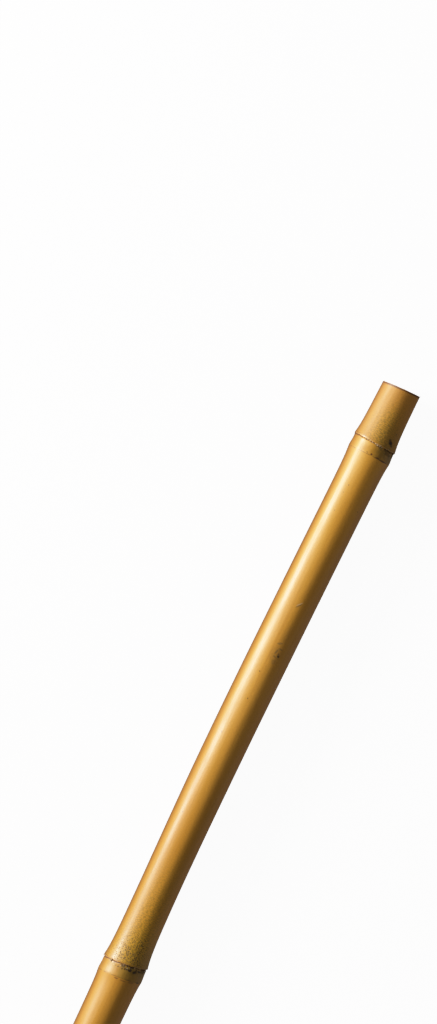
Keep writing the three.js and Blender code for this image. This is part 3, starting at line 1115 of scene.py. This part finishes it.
# %% Lay the UV map
def lay_uv(mesh, bar):
    """UV map skin: metres along the cane, and metres around it from the top towards +Y."""
    corners = np.empty(len(mesh.loops), int)
    mesh.loops.foreach_get("vertex_index", corners)
    phi = np.arctan2(bar[corners, 1], bar[corners, 2])
    starts = np.empty(len(mesh.polygons), int)
    totals = np.empty(len(mesh.polygons), int)
    mesh.polygons.foreach_get("loop_start", starts)
    mesh.polygons.foreach_get("loop_total", totals)
    face_phi = np.repeat(phi[starts], totals)
    phi = phi + 2 * math.pi * np.round((face_phi - phi) / (2 * math.pi))
    layer = mesh.uv_layers.new(name="skin")
    uv = np.stack([bar[corners, 0] * MM, phi * SKIN_RADIUS * MM], axis=-1)
    layer.data.foreach_set("uv", uv.ravel())


lay_uv(culm.data, bar)
print("UV corners:", len(culm.data.uv_layers["skin"].data))


# %% Give each face its finish and hand the culm over
def paint_culm(mesh, bar, radius, outer):
    """Skin, cut wood or lining on each face, by where it lies on the bar."""
    for finish in (skin.material, cut_wood, lining):
        mesh.materials.append(finish)
    for face in mesh.polygons:
        points = list(face.vertices)
        x = bar[points, 0].mean()
        inside = radius[points].max() < outer[points].min() - 2 * CUT_BEVEL
        at_cut = bar[points, 0].max() < CUT_BEVEL / 2 or bar[points, 0].min() > LENGTH - CUT_BEVEL / 2
        at_bevel = x < CUT_BEVEL or x > LENGTH - CUT_BEVEL
        face.material_index = 1 if at_cut or at_bevel else 2 if inside else 0


paint_culm(culm.data, bar, bar_radius, outer_radius)
select_only(culm)
bpy.ops.object.shade_smooth_by_angle(angle=math.radians(40))
culm.name = "culm"
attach(culm, "root")
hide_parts("cane")
print("faces of cut wood:", sum(face.material_index == 1 for face in culm.data.polygons))

# %% [markdown]
# ## Dry sheath left at the scars
# When the leaf sheath fell off, small dry flakes of it stayed on the rim of each scar. One flake is made
# from a thin grid that is thickened and curled, and copies of it are turned, sized and set on the rim.

# %% Finishes for dry sheath and torn fibre
SHEATH_PALE = (0.6, 0.39, 0.18, 1)
SHEATH_BROWN = (0.2, 0.09, 0.035, 1)
FIBRE_STRAW = (0.62, 0.4, 0.15, 1)


def dry_finish(name, pale, dark, share):
    """Dry fibrous plant matter: pale with darker streaks, dull."""
    f = Finish(name)
    place = f.place()
    streaks = f.noise(f.scaled(place, (300, 2600, 2600)), 1.0, 3.0, 0.6)
    blotches = f.noise(place, 420.0, 3.0, 0.6)
    colour = f.mix(f.ease(blotches, 1 - share, 1.15 - share), pale, dark)
    f.put("Base Color", f.mix(f.times(f.ease(streaks, 0.45, 0.7), 0.5), colour, dark))
    f.shader.inputs["Roughness"].default_value = 0.8
    f.put("Normal", f.relief(streaks, 0.05 * MM))
    return f.material


dry_sheath = dry_finish("dry sheath", SHEATH_PALE, SHEATH_BROWN, 0.56)
torn_fibre = dry_finish("torn fibre", FIBRE_STRAW, SHEATH_BROWN, 0.4)
print("dry finishes:", dry_sheath.name, "and", torn_fibre.name)


# %% Model one flake
def apply_all(piece):
    select_only(piece)
    for modifier in list(piece.modifiers):
        bpy.ops.object.modifier_apply(modifier=modifier.name)
    bpy.ops.object.transform_apply(location=True, rotation=True, scale=True)


def one_flake():
    """A flake 1 mm long on +X from its root at the origin, 1 mm wide, its free end curled up to +Z."""
    deselect()
    bpy.ops.mesh.primitive_grid_add(x_subdivisions=7, y_subdivisions=5, size=MM, location=(MM / 2, 0, 0))
    flake = bpy.context.object
    bpy.ops.object.transform_apply(location=True)
    thick = flake.modifiers.new("thickness", "SOLIDIFY")
    thick.thickness = 0.09 * MM
    thick.offset = 0
    apply_all(flake)
    for vertex in flake.data.vertices:
        x, y, z = vertex.co / MM
        taper = 1 - 0.55 * max(x, 0) ** 2
        torn = 0.12 * noise.noise(Vector((y * 5, 2.7, 0))) * x
        curled = 0.22 * x**3 + 0.35 * y * y
        vertex.co = Vector((x + torn, y * taper + 0.1 * x * x, z + curled - 0.06)) * MM
    flake.data.materials.append(dry_sheath)
    return flake


flake = one_flake()
print("one flake:", len(flake.data.polygons), "faces")


# %% Set a copy on the skin, and join the copies
def set_on_skin(model, x, around, size, turn, lift, sink):
    """A copy of a model with its own mesh, rooted in the skin, turned on it and lifted off it."""
    copy = model.copy()
    copy.data = model.data.copy()
    bpy.context.scene.collection.objects.link(copy)
    root, out = on_skin(x, around, -sink)
    side = out.cross(Vector((1, 0, 0)))
    stand = Matrix((Vector((1, 0, 0)), side, out)).transposed().to_4x4()
    turned = Matrix.Rotation(turn, 4, "Z") @ Matrix.Rotation(-lift, 4, "Y") @ Matrix.Diagonal((*size, 1))
    copy.data.transform(Matrix.Translation(root) @ stand @ turned)
    return copy


def joined(pieces, model, name):
    """The pieces as one object at the origin; the model that they were copied from is removed."""
    bpy.data.objects.remove(model)
    deselect()
    for piece in pieces:
        piece.select_set(True)
    bpy.context.view_layer.objects.active = pieces[0]
    bpy.ops.object.join()
    whole = bpy.context.object
    bpy.ops.object.mode_set(mode="EDIT")
    bpy.ops.mesh.select_all(action="SELECT")
    bpy.ops.mesh.normals_make_consistent(inside=False)
    bpy.ops.object.mode_set(mode="OBJECT")
    bpy.ops.object.shade_smooth_by_angle(angle=math.radians(45))
    whole.name = name
    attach(whole, "root")
    return whole


# %% Set the flakes in tufts on the rims
FLAKE_TUFTS = 7
FLAKE_ARC = 60  # mm around the top of each rim
FLAKE_SINK = 0.06
chance = random.Random(11)
flakes = []
for node in NODES:
    for tuft in range(FLAKE_TUFTS):
        middle = (tuft + chance.uniform(0.1, 0.9)) * FLAKE_ARC / FLAKE_TUFTS - FLAKE_ARC / 2
        for i in range(chance.choice((1, 2, 4))):
            around = middle + chance.gauss(0, 1.4)
            long = chance.choice((0.5, 0.7, 0.9, 1.5))
            size = (long, chance.uniform(0.4, 1.2), chance.uniform(0.6, 1.1))
            turn, lift = chance.uniform(-0.9, 0.9), chance.uniform(-0.15, 0.12)
            x = node["scar"] + chance.uniform(-0.35, 0.15)
            flakes.append(set_on_skin(flake, x, around, size, turn, lift, FLAKE_SINK))
sheath_flakes = joined(flakes, flake, "sheath_flakes")
print("sheath flakes:", len(flakes), "flakes,", len(sheath_flakes.data.polygons), "faces")

# %% [markdown]
# ## Torn fibres at the cuts
# A saw leaves short torn fibres along the rim of a cut. One fibre is a thin bent cone, rooted in the wall,
# and copies of it stand out of the rims at both ends by a millimetre or less.

# %% Model one fibre
FIBRE_ROOT, FIBRE_TIP = 0.16, 0.03


def one_fibre():
    """A fibre 1 mm long on -X from its root at the origin, thin and a little bent."""
    deselect()
    bpy.ops.mesh.primitive_cone_add(vertices=5, radius1=FIBRE_ROOT * MM, radius2=FIBRE_TIP * MM, depth=MM)
    fibre = bpy.context.object
    bpy.ops.object.mode_set(mode="EDIT")
    bpy.ops.mesh.select_all(action="SELECT")
    bpy.ops.mesh.subdivide(number_cuts=2)
    bpy.ops.object.mode_set(mode="OBJECT")
    for vertex in fibre.data.vertices:
        x, y, z = vertex.co / MM
        reach = z + 0.5
        vertex.co = Vector((-reach, y + 0.12 * reach**2, x + 0.16 * reach**2)) * MM
    fibre.data.materials.append(torn_fibre)
    return fibre


fibre = one_fibre()
print("one fibre:", len(fibre.data.polygons), "faces")

# %% Set the fibres along both cuts
FIBRES_PER_CUT = 34
FIBRE_ARC = 66  # mm around the top of each cut
FIBRE_INSET = 0.35
fibres = []
for x, inward in ((FIBRE_INSET, 0), (LENGTH - FIBRE_INSET, math.pi)):
    for i in range(FIBRES_PER_CUT):
        around = (i + chance.uniform(-0.5, 0.5)) * FIBRE_ARC / FIBRES_PER_CUT - FIBRE_ARC / 2
        long = chance.choice((0.45, 0.55, 0.7, 0.95))
        size = (long, chance.uniform(0.7, 1.6), chance.uniform(0.7, 1.6))
        turn, lift = inward + chance.uniform(-0.3, 0.3), chance.uniform(-0.1, 0.08)
        fibres.append(set_on_skin(fibre, x, around, size, turn, lift, chance.uniform(0.12, 0.5)))
cut_fibres = joined(fibres, fibre, "cut_fibres")
print("cut fibres:", len(fibres), "fibres,", len(cut_fibres.data.polygons), "faces")

# %% Print the CAD model's box
print("CAD box", [round(v / MM, 2) for v in (*cad_low, *cad_high)])
